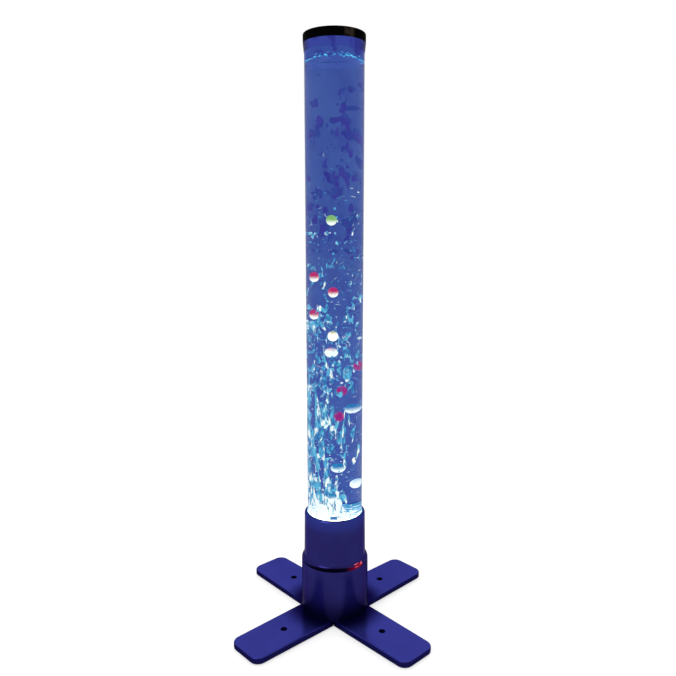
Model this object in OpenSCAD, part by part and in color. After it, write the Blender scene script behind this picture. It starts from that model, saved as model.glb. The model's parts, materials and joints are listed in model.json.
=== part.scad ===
// Bubble tube floor lamp: a water-filled clear tube with drifting balls, held in a collar on a
// round housing with four flat legs. The housing holds an air pump, a non-return valve, the
// control board and the power inlet, and the tube's skirt holds the lamps that shine up through
// the tube's floor. All sizes are millimetres, Z is up and z = 0 is the plane it stands on.

/* [Tube] */
// Outside diameter of the clear tube
tube_d = 100; // [80:1:130]
// Wall of the clear tube
tube_wall = 3; // [2:0.5:5]
// Length of the clear tube
tube_len = 862; // [600:1:1400]
// Depth of the tube inside the collar
tube_engage = 47; // [44:1:54]
// Thickness of the disc that closes the tube's foot
floor_t = 10; // [8:1:12]
// Air left between the water and the tube's top edge
air_gap = 32; // [25:1:80]

/* [Balls] */
// Diameter of a drifting ball
ball_d = 17; // [10:0.5:18]
// Room left round a ball
ball_gap = 0.3; // [0.2:0.1:1]

/* [Cap] */
// Height of the cap's black rim
cap_h = 15; // [12:1:30]
// How far the cap's rim stands out past the tube
cap_lip = 2; // [1.5:0.1:4]
// Depth that the cap's rim reaches down round the tube
cap_overlap = 4; // [3:0.5:8]
// Length of the plug below the tube's top edge
plug_len = 14; // [10:1:20]
// Diameter of the vent through the cap
vent_d = 4; // [2:0.5:6]
// Height of the clear tapered gasket under the cap
gasket_h = 13; // [8:1:20]

/* [Collar] */
// Height of the collar above the dark band
collar_h = 84; // [80:1:95]
// Wall of the collar outside its seals, at its foot
collar_wall = 4.1; // [3.5:0.1:7]
// How much narrower the collar is at its top
collar_draft = 2; // [0:0.2:2.6]
// Radius of the rounded top lip of the collar
lip_r = 5; // [3:0.5:5]
// Height of the dark band between collar and housing
band_h = 9; // [7:1:12]
// Wall of the collar's spigot that passes through the band
spigot_wall = 5; // [4:0.5:6]

/* [Housing] */
// How far the round housing's foot stands out past the collar
shoulder_step = 5.3; // [4:0.1:12]
// How much narrower the housing is at its top
housing_draft = 1; // [0:0.2:2]
// Height of the round housing
housing_h = 95; // [92:1:130]
// Wall of the round housing
housing_wall = 3.5; // [3:0.5:5]
// Thickness of the plate that closes the housing's foot
plate_t = 4; // [3:0.5:6]

/* [Legs] */
// Reach of a leg from the lamp's axis
leg_reach = 211; // [180:1:300]
// Width of a leg at the housing
leg_root_w = 84; // [76:1:86]
// Width of a leg at its tip
leg_tip_w = 77; // [60:1:84]
// Thickness of a leg
leg_t = 12; // [7:0.5:16]
// Radius of a leg's two tip corners
leg_corner_r = 17; // [10:1:24]
// Radius of a leg's rounded edges
leg_edge_r = 2.6; // [1:0.2:3]
// Distance of a leg's fixing hole from the lamp's axis
leg_hole_at = 123; // [100:1:140]
// Diameter of a leg's fixing hole
leg_hole_d = 12; // [6:0.5:14]
// Distance of the outer foot pad's centre from the leg's tip
pad_inset = 26; // [20:1:40]
// Diameter of a rubber foot pad
pad_d = 22; // [14:1:26]
// How far a rubber foot pad stands out under a leg
pad_stand = 1; // [0.8:0.1:2]

/* [Light] */
// Gap between the lamp board's edge and the tube's bore
board_margin = 6; // [5.5:0.5:12]
// Number of lamp chips in the outer ring
chip_count = 12; // [6:1:18]
// Side of a lamp chip
chip_side = 5; // [3:0.5:6]

/* [Air] */
// Outside diameter of the air hose
hose_d = 6; // [5.5:0.5:7]
// Bore of the air hose
hose_bore = 4; // [3.5:0.1:4.5]
// Diameter of the pump's motor can
motor_d = 24; // [20:1:26]
// Length of the pump's motor can
motor_len = 32; // [26:1:34]
// Side of the pump's square head
head_side = 28; // [26:1:30]
// Distance of the pump's outlet from the lamp's axis
outlet_off = 14; // [10:1:16]
// Diameter of the non-return valve
valve_d = 12; // [10:1:16]
// Length of the non-return valve's body
valve_len = 18; // [16:1:20]
// Diameter of the largest air bubble
bubble_d = 8; // [4:0.5:9]
// Number of air bubbles in the rising stream
bubble_count = 110; // [30:10:150]

/* [Electrics] */
// Width of the control board
circuit_w = 60; // [56:1:64]
// Height of the control board
circuit_h = 62; // [60:1:64]
// Thickness of every circuit board
circuit_t = 1.6; // [1:0.2:2]
// Distance between the control board's outer face and the housing's bore
circuit_gap = 20; // [19:0.5:21]
// Diameter of the push button
button_d = 12; // [9:0.5:13]
// Height of the push button's axis below the control board's top edge
button_drop = 14; // [12:1:18]
// Travel of the push button
button_travel = 1.5; // [1:0.1:1.8]
// How far the push button stands out of the housing
button_proud = 2; // [1.9:0.1:3]
// Diameter of the round power inlet's threaded body
inlet_d = 11; // [10:0.5:12]
// Bore of the power inlet
inlet_bore = 5.5; // [5:0.5:6]

/* [Hidden] */
$fn = 96;

eps = 0.01;                     // overrun of a cut past a face
fit = 0.2;                      // radial clearance between fixed pieces that slide together
slide_gap = 0.3;                // clearance round a piece that moves

// Bends of hoses and leads: two bends with a short straight between them make one S
bend_angle = 40;
bend_mid = 4;
bend_step = 0.05;
bend_lap = 0.5;
function bend_radius(shift) = (shift - bend_mid * sin(bend_angle)) / (2 * (1 - cos(bend_angle)));
function bend_rise(shift) = 2 * bend_radius(shift) * sin(bend_angle) + bend_mid * cos(bend_angle);

// Heights of the stack, from the floor up
leg_top = pad_stand + leg_t;
plate_top = leg_top + plate_t;
housing_top = leg_top + housing_h;
band_top = housing_top + band_h;
collar_top = band_top + collar_h;
floor_top = collar_top;
floor_under = floor_top - floor_t;
tube_foot = collar_top - tube_engage;
tube_top = tube_foot + tube_len;
water_top = tube_top - air_gap;
cap_under = tube_top - cap_overlap;

// Radii of the tube and what holds it
tube_r = tube_d / 2;
bore_r = tube_r - tube_wall;
seal_w = 2.6;
seal_h = 6;
seal_inset = 2;
guide_h = 6;
lip_land = 10;
collar_bore_r = tube_r + seal_w;
collar_foot_r = collar_bore_r + collar_wall;
collar_top_r = collar_foot_r - collar_draft / 2;
seal_zone = [tube_foot + guide_h, collar_top - lip_land];
ledge_t = 6;
ledge_w = 20;
ledge_bore_r = tube_r - ledge_w;
band_seat = 3.2;
band_bore_r = collar_foot_r - band_seat;
spigot_r = band_bore_r - fit;
flange_t = 4;
housing_foot_r = collar_foot_r + shoulder_step;
housing_top_r = housing_foot_r - housing_draft / 2;
housing_bore_r = housing_top_r - housing_wall;
nut_h = 7;
nut_w = 4;

// Air path
tab_w = 12;                     // tab on the tube's floor that sets the tube's turn in the collar
tab_d = 3;
tab_h = 6;
tab_inset = 1;
tab_room = 1;
nozzle_hole_r = 4;
nozzle_flange_r = 8;
nozzle_flange_t = 3;
washer_t = 1.5;
nozzle_nut_h = 6;
nozzle_tail = 11;               // length of the nozzle's hose tail below its nut
hose_grip = 10;                 // length of hose pushed over a tail
diffuser_r = 7;
diffuser_h = 9;
nipple_len = 6;
nozzle_foot = floor_under - nozzle_nut_h - nozzle_tail;
nozzle_top = floor_top + washer_t + nozzle_flange_t;
upper_hose_top = nozzle_foot + hose_grip;
upper_hose_len = 36;
upper_hose_foot = upper_hose_top - upper_hose_len;
valve_top = upper_hose_foot - 1;
valve_foot = valve_top - valve_len;
lower_hose_top = valve_foot - 1;

// Pump
pump_axis_z = plate_top + 21;
pump_tail_len = 8;
outlet_z = pump_axis_z + head_side / 2;
lower_hose_foot = outlet_z + 1;
hose_turn = lower_hose_foot + 9;
head_len = 26;
head_face = outlet_off - head_len / 2;
strap_w = 12;
strap_t = 1.5;
strap_grip = 2.5;
strap_r = motor_d / 2 + strap_t;
strap_x = head_face - motor_len / 2 - strap_w / 2;

// Light
carrier_wall = 2;
carrier_t = 3;
carrier_r = bore_r - board_margin;
carrier_rise = 21;
carrier_top = tube_foot + carrier_rise;
spreader_t = 2;
chip_t = 1.6;
spreader_top = carrier_top + spreader_t;
light_top = spreader_top + circuit_t;
light_bore_r = 12;

// Legs
leg_azimuths = [225, 315, 135, 45];
mitre_gap = 0.3;
leg_screw_inset = 8;
leg_screw_pitch = 14;
leg_screw_at = [
    housing_bore_r - leg_screw_inset - leg_screw_pitch,
    housing_bore_r - leg_screw_inset
];
leg_screw_r = 2;
leg_screw_head_r = 4;
leg_screw_head_t = 3;
leg_boss_r = 5;
leg_boss_h = 8;
pad_t = 2.5;
pad_at = [housing_foot_r + pad_d + 1, leg_reach - pad_inset];

// Housing details
post_azimuths = [0, 180, 270];
post_r = 5;
post_at = housing_bore_r - 8;
post_h = 45;
plate_screw_r = 1.5;
plate_screw_head_r = 3;
plate_screw_len = 16;
inlet_rise = 20;
inlet_z = plate_top + inlet_rise;
inlet_flange_r = inlet_d / 2 + 2;
inlet_body_len = 14;
inlet_seat = housing_bore_r - 2.5;
button_seat = housing_bore_r - 6.5;
circuit_at = housing_bore_r - circuit_gap;
button_flange_t = 1.2;
button_flange_r = button_d / 2 + 2;
switch_side = 10;
switch_depth = button_seat - button_flange_t - button_travel - slide_gap - circuit_at - 1;
plunger_r = 2;

// Control board, with a socket for each lead on its inner face
circuit_foot = plate_top + leg_boss_h + 1;
button_z = circuit_foot + circuit_h - button_drop;
circuit_face = circuit_at - circuit_t;
slot_depth = 3;
socket_w = 10;
socket_d = 8;
socket_h = 8;
lamp_socket = [circuit_w / 2 - 6, circuit_face - socket_d / 2, circuit_foot + circuit_h - 12];
pump_socket = [-circuit_w / 2 + 8, circuit_face - socket_d / 2, pump_axis_z - socket_h / 2];

// Lamp lead: where it leaves its socket, and where it passes the collar's ledge and the lamp board
lead_r = 1.5;
lead_azimuth = atan2(lamp_socket[1], lamp_socket[0]);
lead_out_r = norm([lamp_socket[0], lamp_socket[1]]);
lead_in_r = ledge_bore_r - 6;

// Receiver window in the dark band
window_azimuth = -42;
window_half_angle = 9;
window_t = 2.5;
window_proud = 0.3;
receiver_w = 6;
receiver_d = 2.7;
receiver_h = 3.5;

// Each ball: azimuth, share of the free radius, share of the water's depth
ball_places = [
    [265, 0.98, 0.672], [207, 0.89, 0.550], [269, 0.97, 0.519], [204, 0.87, 0.467],
    [268, 0.97, 0.423], [112, 0.31, 0.378], [9, 0.87, 0.347], [295, 0.77, 0.298],
    [49, 0.76, 0.243], [286, 0.76, 0.239], [172, 0.45, 0.212], [82, 0.56, 0.101],
    [23, 0.76, 0.064], [257, 0.71, 0.047]
];
ball_colors = [
    "green", "red", "red", "red", "gold", "red", "red", "deeppink",
    "deepskyblue", "deeppink", "deepskyblue", "deepskyblue", "white", "deepskyblue"
];
ball_reach = bore_r - ball_d / 2 - 0.4;

function ball_centre(place) = [
    ball_reach * place[1] * cos(place[0]),
    ball_reach * place[1] * sin(place[0]),
    floor_top + place[2] * (water_top - floor_top)
];

// Stream of air bubbles: each is a golden turn on from the last, so that no two meet
golden_turn = 137.508;
golden_share = 0.618;
spread_share = 0.755;
stream_foot_r = 16;
stream_low = nozzle_top + diffuser_h + bubble_d;
stream_share = 0.72;
stream_high = floor_top + stream_share * (water_top - floor_top);
stream_reach = bore_r - bubble_d / 2 - 1;
stream_crowding = 1.3;
dimple_from = 0.75;
dimple_drop = 1.2;
dimple_size = 0.8;

function fraction(x) = x - floor(x);
function bubble_rise(i) = pow((i + 0.5) / bubble_count, stream_crowding);
function bubble_out(i) =
    (stream_foot_r + (stream_reach - stream_foot_r) * sqrt(bubble_rise(i))) * sqrt(fraction(i * spread_share));
function bubble_r(i) = bubble_d / 4 * (1 + fraction(i * golden_share));
function bubble_centre(i) = [
    bubble_out(i) * cos(i * golden_turn),
    bubble_out(i) * sin(i * golden_turn),
    stream_low + bubble_rise(i) * (stream_high - stream_low)
];
function ball_room(p) = min([for (place = ball_places) norm(p - ball_centre(place))]) - ball_d / 2;

// Places in the stream that no ball is in
bubbles = [
    for (i = [0 : bubble_count - 1])
        if (ball_room(bubble_centre(i)) > bubble_r(i) + ball_gap + eps) i
];

// A plain tube standing on z = low
module ring(r_out, r_in, low, high) {
    translate([0, 0, low])
        difference() {
            cylinder(r = r_out, h = high - low);
            translate([0, 0, -eps])
                cylinder(r = r_in, h = high - low + 2 * eps);
        }
}

// A solid disc from z = low to z = high
module disc(r, low, high) {
    translate([0, 0, low])
        cylinder(r = r, h = high - low);
}

// Copies of the children, turned to each azimuth and moved out along it
module at_azimuths(azimuths, out) {
    for (a = azimuths)
        rotate([0, 0, a])
            translate([out, 0, 0])
                children();
}

// The children laid along +Y, at a height, as the rear fittings are
module facing_rear(z) {
    translate([0, 0, z])
        rotate([-90, 0, 0])
            children();
}

// A block with rounded upright edges, centred in X and Y, standing on z = 0
module rounded_block(w, d, h, r) {
    translate([-w / 2 + r, -d / 2, 0])
        cube([w - 2 * r, d, h]);
    translate([-w / 2, -d / 2 + r, 0])
        cube([w, d - 2 * r, h]);
    for (x = [-1, 1], y = [-1, 1])
        translate([x * (w / 2 - r), y * (d / 2 - r), 0])
            cylinder(r = r, h = h);
}

// One bend of a run, in the XZ plane. It starts upright at the origin and leans towards +X. Bends are
// a hair thicker than the straights, so that each straight ends inside its bend
module bend(radius, r) {
    translate([radius, 0, 0])
        mirror([1, 0, 0])
            rotate([90, 0, 0])
                rotate_extrude(angle = bend_angle)
                    translate([radius, 0])
                        circle(r = r + bend_step);
}

// An upright run from z = low to z = high that shifts towards +X by an S-bend starting at z = turn
module shifted_run(shift, low, turn, high, r) {
    radius = bend_radius(shift);
    disc(r, low, turn + bend_lap);
    translate([0, 0, turn]) {
        bend(radius, r);
        translate([radius * (1 - cos(bend_angle)), 0, radius * sin(bend_angle)])
            rotate([0, bend_angle, 0])
                disc(r, -bend_lap, bend_mid + bend_lap);
        translate([shift, 0, bend_rise(shift)])
            rotate([0, 180, 0])
                bend(radius, r);
    }
    translate([shift, 0, 0])
        disc(r, turn + bend_rise(shift) - bend_lap, high);
}

// ---------------------------------------------------------------- tube, cap and water

module acrylic_tube() {
    color([0.75, 0.85, 1, 0.35])
        ring(tube_r, bore_r, tube_foot, tube_top);
}

// Disc bonded into the tube's foot, with the nozzle hole and a small locating tab at the front
module tube_floor() {
    color([0.6, 0.8, 1, 0.6]) {
        difference() {
            disc(bore_r, floor_under, floor_top);
            disc(nozzle_hole_r, floor_under - eps, floor_top + eps);
        }
        translate([-tab_w / 2, -bore_r + tab_inset, floor_top - eps])
            cube([tab_w, tab_d, tab_h + eps]);
    }
}

module tube_seals() {
    color("dimgray")
        for (z = [seal_zone[0] + seal_inset, seal_zone[1] - seal_inset - seal_h])
            ring(collar_bore_r, tube_r, z, z + seal_h);
}

// Clear tapered gasket that carries the tube's outline out to the cap's rim
module rim_gasket() {
    top = cap_under - slide_gap;
    color([0.7, 0.85, 1, 0.5])
        difference() {
            translate([0, 0, top - gasket_h])
                cylinder(r1 = tube_r + 0.5, r2 = tube_r + cap_lip, h = gasket_h);
            disc(tube_r, top - gasket_h - eps, top + eps);
        }
}

module top_cap() {
    edge_r = 2;
    rim_r = tube_r + cap_lip;
    plug_r = bore_r - slide_gap;
    groove_top = tube_top + slide_gap;
    plug_foot = tube_top - plug_len;
    seal_z = tube_top - plug_len + 4;
    color("black")
        difference() {
            rotate_extrude() {
                translate([0, cap_under])
                    square([rim_r - edge_r, cap_h]);
                translate([0, cap_under])
                    square([rim_r, cap_h - edge_r]);
                translate([rim_r - edge_r, cap_under + cap_h - edge_r])
                    circle(r = edge_r);
                translate([0, plug_foot])
                    square([plug_r, plug_len]);
            }
            ring(tube_r + slide_gap, plug_r, cap_under - eps, groove_top);
            ring(plug_r + 1, plug_r - 2, seal_z, seal_z + 3);
            disc(vent_d / 2, plug_foot - eps, cap_under + cap_h + eps);
        }
}

// Ring seal in the plug's groove
module cap_seal() {
    plug_r = bore_r - slide_gap;
    seal_z = tube_top - plug_len + 4;
    color("dimgray")
        ring(bore_r - 0.1, plug_r - 2, seal_z, seal_z + 3);
}

module ball(i) {
    color(ball_colors[i])
        translate(ball_centre(ball_places[i]))
            sphere(d = ball_d);
}

// The fill of water, with room for each ball, the nozzle and the locating tab
module water_column() {
    color([0.25, 0.35, 0.8, 0.5])
        difference() {
            disc(bore_r, floor_top, water_top);
            disc(nozzle_flange_r + 0.5, floor_top - eps, nozzle_top + diffuser_h + 1);
            translate([-tab_w / 2 - tab_room, -bore_r - tab_room, floor_top - eps])
                cube([tab_w + 2 * tab_room, tab_inset + tab_d + 2 * tab_room, tab_h + tab_room]);
            for (place = ball_places)
                translate(ball_centre(place))
                    sphere(d = ball_d + 2 * ball_gap);
            for (i = bubbles)
                bubble(i, eps);
        }
}

// One air bubble. The large ones are hollowed from below, as bubbles of that size rise.
module bubble(i, grow = 0) {
    r = bubble_r(i);
    translate(bubble_centre(i))
        if (r > dimple_from * bubble_d / 2)
            difference() {
                sphere(r = r + grow);
                translate([0, 0, -dimple_drop * r])
                    sphere(r = dimple_size * r - grow);
            }
        else
            sphere(r = r + grow);
}

// Air rising from the diffuser, close together at its foot and scattered across the tube above
module air_bubbles() {
    color([0.8, 0.95, 1])
        for (i = bubbles)
            bubble(i);
}

// ---------------------------------------------------------------- collar and band

// Half section of the collar: tapered wall with a rounded lip, an inner ledge for the tube and a
// spigot that passes down through the band and the housing's flange
module collar_profile() {
    foot_t = 3;
    lip_centre_r = collar_top_r - lip_r;
    spigot_foot = housing_top - flange_t - nut_h;
    difference() {
        union() {
            polygon([
                [tube_r + fit, band_top],
                [collar_foot_r, band_top],
                [collar_top_r, collar_top - lip_r],
                [tube_r + fit, collar_top - lip_r]
            ]);
            intersection() {
                translate([lip_centre_r, collar_top - lip_r])
                    circle(r = lip_r);
                translate([tube_r + fit, collar_top - lip_r - eps])
                    square([collar_top_r, lip_r + 1]);
            }
            translate([spigot_r - spigot_wall, spigot_foot])
                square([spigot_wall, band_top - spigot_foot + eps]);
            translate([ledge_bore_r, tube_foot - ledge_t])
                square([tube_r - ledge_bore_r + 1, ledge_t]);
        }
        translate([tube_r - 1, seal_zone[0]])
            square([seal_w + 1, seal_zone[1] - seal_zone[0]]);
        translate([tube_r - 1, band_top + foot_t])
            square([seal_w + 1, tube_foot - ledge_t - band_top - foot_t]);
    }
}

module collar() {
    color("midnightblue")
        rotate_extrude()
            collar_profile();
}

// Ring nut that clamps the collar's spigot under the housing's flange
module collar_nut() {
    grips = 8;
    top = housing_top - flange_t;
    color("gray")
        difference() {
            ring(spigot_r + nut_w, spigot_r, top - nut_h, top);
            at_azimuths([for (i = [0 : grips - 1]) i * 360 / grips], spigot_r + nut_w)
                translate([0, 0, top - nut_h - eps])
                    cylinder(r = 1.5, h = nut_h + 2 * eps);
        }
}

// Half section of the band: a convex shoulder from the housing's edge up to the collar's foot
module band_profile(grow) {
    run = housing_top_r - collar_foot_r;
    arc_r = (run * run + band_h * band_h) / (2 * run);
    intersection() {
        translate([housing_top_r - arc_r, housing_top])
            circle(r = arc_r + grow);
        translate([band_bore_r, housing_top])
            square([housing_top_r, band_h]);
    }
}

// Part of the band's outer skin, where the receiver window sits
module window_skin(inward, outward, half_angle, margin) {
    rotate([0, 0, window_azimuth - half_angle])
        rotate_extrude(angle = 2 * half_angle)
            intersection() {
                difference() {
                    band_profile(outward);
                    band_profile(-inward);
                }
                translate([band_bore_r, housing_top + 1.5 - margin])
                    square([housing_foot_r, band_h - 3 + 2 * margin]);
            }
}

// Block of the receiver behind its window, grown all round and reaching out towards the window
module receiver_block(grow, outward) {
    rotate([0, 0, window_azimuth])
        translate([band_bore_r + 1 - grow, -receiver_w / 2 - grow, housing_top + 1.5 - grow])
            cube([receiver_d + grow + outward, receiver_w + 2 * grow, receiver_h + 2 * grow]);
}

module shoulder_band() {
    color("black")
        difference() {
            rotate_extrude()
                band_profile(0);
            window_skin(window_t + fit, 1, window_half_angle + 0.2, fit);
            receiver_block(fit, 1.5);
        }
}

module receiver() {
    color("dimgray")
        receiver_block(0, 0);
}

module receiver_window() {
    color("darkred")
        window_skin(window_t, window_proud, window_half_angle, 0);
}

// ---------------------------------------------------------------- housing and base plate

module housing_posts() {
    at_azimuths(post_azimuths, post_at)
        difference() {
            union() {
                disc(post_r, plate_top, plate_top + post_h);
                translate([0, -1.5, plate_top])
                    cube([housing_bore_r - post_at + 1, 3, post_h]);
            }
            disc(plate_screw_r, plate_top - eps, plate_top + plate_screw_len);
        }
}

// Outer shape of the housing, filled
module housing_form() {
    rotate_extrude()
        polygon([
            [0, leg_top],
            [housing_foot_r, leg_top],
            [housing_top_r, housing_top],
            [0, housing_top]
        ]);
}

// Flat inner seat for a fitting in the housing's rear wall
module rear_seat(z, r, seat) {
    intersection() {
        facing_rear(z)
            disc(r, seat, housing_foot_r + 1);
        housing_form();
    }
}

module base_housing() {
    color("midnightblue")
        difference() {
            union() {
                difference() {
                    housing_form();
                    disc(housing_bore_r, leg_top - eps, housing_top - flange_t);
                    disc(band_bore_r, housing_top - flange_t - eps, housing_top + eps);
                }
                housing_posts();
                rear_seat(button_z, button_d / 2 + 4, button_seat);
                rear_seat(inlet_z, inlet_flange_r + 3, inlet_seat);
            }
            facing_rear(button_z)
                disc(button_d / 2 + slide_gap, 0, housing_foot_r + 5);
            facing_rear(inlet_z)
                disc(inlet_d / 2 + fit, 0, housing_foot_r + 5);
        }
}

// Plate that closes the housing's foot, with bosses for the leg screws and slots for the board
module base_plate() {
    color("darkslateblue")
        difference() {
            union() {
                disc(housing_bore_r - fit, leg_top, plate_top);
                at_azimuths(leg_azimuths, 0)
                    for (along = leg_screw_at)
                        translate([along, 0, 0])
                            disc(leg_boss_r, plate_top - eps, plate_top + leg_boss_h);
                for (x = [-1, 1])
                    translate([x * (circuit_w / 2 - 6) - 3, circuit_face - 2, plate_top - eps])
                        cube([6, circuit_t + 4, circuit_foot - plate_top + slot_depth]);
            }
            at_azimuths(leg_azimuths, 0)
                for (along = leg_screw_at)
                    translate([along, 0, 0])
                        disc(leg_screw_r, leg_top - eps, plate_top + leg_boss_h - 2);
            at_azimuths(post_azimuths, post_at) {
                disc(plate_screw_r + fit, leg_top - eps, plate_top + eps);
                disc(plate_screw_head_r + fit, leg_top - eps, leg_top + 2.2);
            }
            translate([-circuit_w / 2 - 1, circuit_face - 0.1, circuit_foot])
                cube([circuit_w + 2, circuit_t + 0.2, slot_depth + 1]);
            strap_slots();
        }
}

// A round-headed screw that points up, with its head's underside at z = 0 in a counterbore
module screw(r, head_r, head_t, length, slot_w) {
    difference() {
        union() {
            cylinder(r = head_r, h = head_t);
            cylinder(r = r, h = length);
        }
        translate([-head_r - 1, -slot_w / 2, -eps])
            cube([2 * head_r + 2, slot_w, head_t / 2]);
    }
}

module plate_screws() {
    color("silver")
        at_azimuths(post_azimuths, post_at)
            translate([0, 0, leg_top + 0.2])
                screw(plate_screw_r, plate_screw_head_r, 2, plate_screw_len, 1);
}

// ---------------------------------------------------------------- legs

// A disc with rounded rims, the shape of a leg's corners
module leg_corner(r) {
    rotate_extrude($fn = 32) {
        square([r - leg_edge_r, leg_t]);
        for (z = [leg_edge_r, leg_t - leg_edge_r])
            translate([r - leg_edge_r, z])
                circle(r = leg_edge_r, $fn = 24);
        translate([0, leg_edge_r])
            square([r, leg_t - 2 * leg_edge_r]);
    }
}

// One flat leg along +X, mitred at the lamp's axis
module leg(azimuth) {
    root_corner_r = 2 * leg_edge_r + 1;
    mitre_reach = leg_root_w;
    color("darkblue")
        rotate([0, 0, azimuth])
            difference() {
                intersection() {
                    translate([0, 0, pad_stand])
                        hull()
                            for (side = [-1, 1]) {
                                translate([
                                    leg_reach - leg_corner_r,
                                    side * (leg_tip_w / 2 - leg_corner_r),
                                    0
                                ])
                                    leg_corner(leg_corner_r);
                                translate([0, side * (leg_root_w / 2 - root_corner_r), 0])
                                    leg_corner(root_corner_r);
                            }
                    linear_extrude(height = leg_top + 1)
                        polygon([
                            [mitre_gap, 0],
                            [mitre_gap + mitre_reach, mitre_reach],
                            [leg_reach + 1, mitre_reach],
                            [leg_reach + 1, -mitre_reach],
                            [mitre_gap + mitre_reach, -mitre_reach]
                        ]);
                }
                translate([leg_hole_at, 0, 0])
                    disc(leg_hole_d / 2, 0, leg_top + 1);
                for (along = leg_screw_at)
                    translate([along, 0, 0]) {
                        disc(leg_screw_r + fit, 0, leg_top + 1);
                        disc(leg_screw_head_r + fit, 0, pad_stand + leg_screw_head_t + 1);
                    }
                for (along = pad_at)
                    translate([along, 0, 0])
                        disc(pad_d / 2 + fit, 0, pad_t);
            }
}

module leg_screws() {
    color("silver")
        at_azimuths(leg_azimuths, 0)
            for (along = leg_screw_at)
                translate([along, 0, pad_stand + 1])
                    screw(leg_screw_r, leg_screw_head_r, leg_screw_head_t, leg_t + plate_t + 4, 1.2);
}

module foot_pads() {
    color("black")
        at_azimuths(leg_azimuths, 0)
            for (along = pad_at)
                translate([along, 0, 0])
                    disc(pad_d / 2, 0, pad_t);
}

// ---------------------------------------------------------------- light

// Hole for the lamp lead through the carrier, the spreader and the lamp board
module lead_hole(low, high) {
    at_azimuths([lead_azimuth], lead_in_r)
        disc(lead_r + 0.5, low, high);
}

// Turned cup that stands on the collar's ledge and holds the lamp board up in the tube's skirt
module light_carrier() {
    foot_r = bore_r - 1;
    wall_r = carrier_r - 2 * carrier_wall;
    color("whitesmoke")
        difference() {
            rotate_extrude() {
                translate([ledge_bore_r, tube_foot])
                    square([foot_r - ledge_bore_r, carrier_t]);
                translate([wall_r - carrier_wall, tube_foot])
                    square([carrier_wall, carrier_top - tube_foot]);
                translate([light_bore_r, carrier_top - carrier_t])
                    square([carrier_r - light_bore_r, carrier_t]);
            }
            lead_hole(carrier_top - carrier_t - eps, carrier_top + eps);
        }
}

module heat_spreader() {
    color("silver")
        difference() {
            ring(carrier_r, light_bore_r, carrier_top, spreader_top);
            lead_hole(carrier_top - eps, spreader_top + eps);
        }
}

module led_board() {
    color("white")
        ring(carrier_r, light_bore_r, spreader_top, light_top);
}

// Two rings of lamp chips, twice as many outside as inside
module led_chips() {
    outer_r = carrier_r - chip_side - 4;
    inner_r = light_bore_r + chip_side + 1;
    inner_count = floor(chip_count / 2);
    color("lightyellow") {
        at_azimuths([for (i = [0 : chip_count - 1]) i * 360 / chip_count], outer_r)
            translate([-chip_side / 2, -chip_side / 2, light_top])
                cube([chip_side, chip_side, chip_t]);
        at_azimuths([for (i = [0 : inner_count - 1]) (i + 0.5) * 360 / inner_count], inner_r)
            translate([-chip_side / 2, -chip_side / 2, light_top])
                cube([chip_side, chip_side, chip_t]);
    }
}

// ---------------------------------------------------------------- air path

module air_nozzle() {
    color("goldenrod")
        difference() {
            union() {
                disc(nozzle_flange_r, floor_top + washer_t, nozzle_top);
                disc(nozzle_hole_r - 0.05, floor_under - nozzle_nut_h - 1, floor_top + washer_t + eps);
                disc(hose_bore / 2, nozzle_foot, floor_under);
                disc(diffuser_r - 3, nozzle_top - eps, nozzle_top + 4);
            }
            disc(1.2, nozzle_foot - eps, nozzle_top + 4 + eps);
        }
}

module nozzle_washer() {
    color("black")
        ring(nozzle_flange_r, nozzle_hole_r, floor_top, floor_top + washer_t);
}

module nozzle_nut() {
    color("goldenrod")
        difference() {
            translate([0, 0, floor_under - nozzle_nut_h])
                cylinder(r = 8, h = nozzle_nut_h, $fn = 6);
            disc(nozzle_hole_r, floor_under - nozzle_nut_h - eps, floor_under + eps);
        }
}

// Perforated dome on the nozzle that splits the air into streams of bubbles
module bubble_diffuser() {
    holes = 6;
    color("white")
        difference() {
            intersection() {
                disc(diffuser_r, nozzle_top, nozzle_top + diffuser_h);
                translate([0, 0, nozzle_top + diffuser_h - 12])
                    sphere(r = 12);
            }
            disc(diffuser_r - 3, nozzle_top - eps, nozzle_top + 5);
            at_azimuths([for (i = [0 : holes - 1]) i * 360 / holes], 2.6)
                disc(0.6, nozzle_top + 4, nozzle_top + diffuser_h + 1);
        }
}

module hose_upper() {
    color("lightgray")
        ring(hose_d / 2, hose_bore / 2, upper_hose_foot, upper_hose_top);
}

module check_valve() {
    color("ivory")
        difference() {
            union() {
                disc(valve_d / 2, valve_foot + 3, valve_top - 3);
                disc(valve_d / 2 - 2, valve_foot, valve_top);
                disc(hose_bore / 2, valve_foot - nipple_len, valve_top + nipple_len);
            }
            disc(0.8, valve_foot - nipple_len - eps, valve_top + nipple_len + eps);
        }
}

// Hose from the pump's outlet round its S-bend to the non-return valve on the lamp's axis
module hose_lower() {
    color("lightgray")
        translate([outlet_off, 0, 0])
            mirror([1, 0, 0])
                difference() {
                    shifted_run(outlet_off, lower_hose_foot, hose_turn, lower_hose_top, hose_d / 2);
                    shifted_run(outlet_off, lower_hose_foot - 1, hose_turn, lower_hose_top + 1, hose_bore / 2);
                }
}

// Square head of the diaphragm pump with its upright outlet
module pump_head() {
    color("dimgray") {
        translate([head_face, 0, pump_axis_z])
            rotate([0, 90, 0])
                rounded_block(head_side, head_side, head_len, 3);
        difference() {
            translate([outlet_off, 0, 0])
                disc(hose_bore / 2, outlet_z - 1, outlet_z + pump_tail_len);
            translate([outlet_off, 0, 0])
                disc(0.8, outlet_z, outlet_z + pump_tail_len + eps);
        }
    }
}

module pump_motor() {
    color("silver")
        translate([head_face, 0, pump_axis_z])
            rotate([0, -90, 0]) {
                cylinder(d = motor_d, h = motor_len);
                cylinder(d = motor_d / 3, h = motor_len + 2);
            }
}

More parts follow.
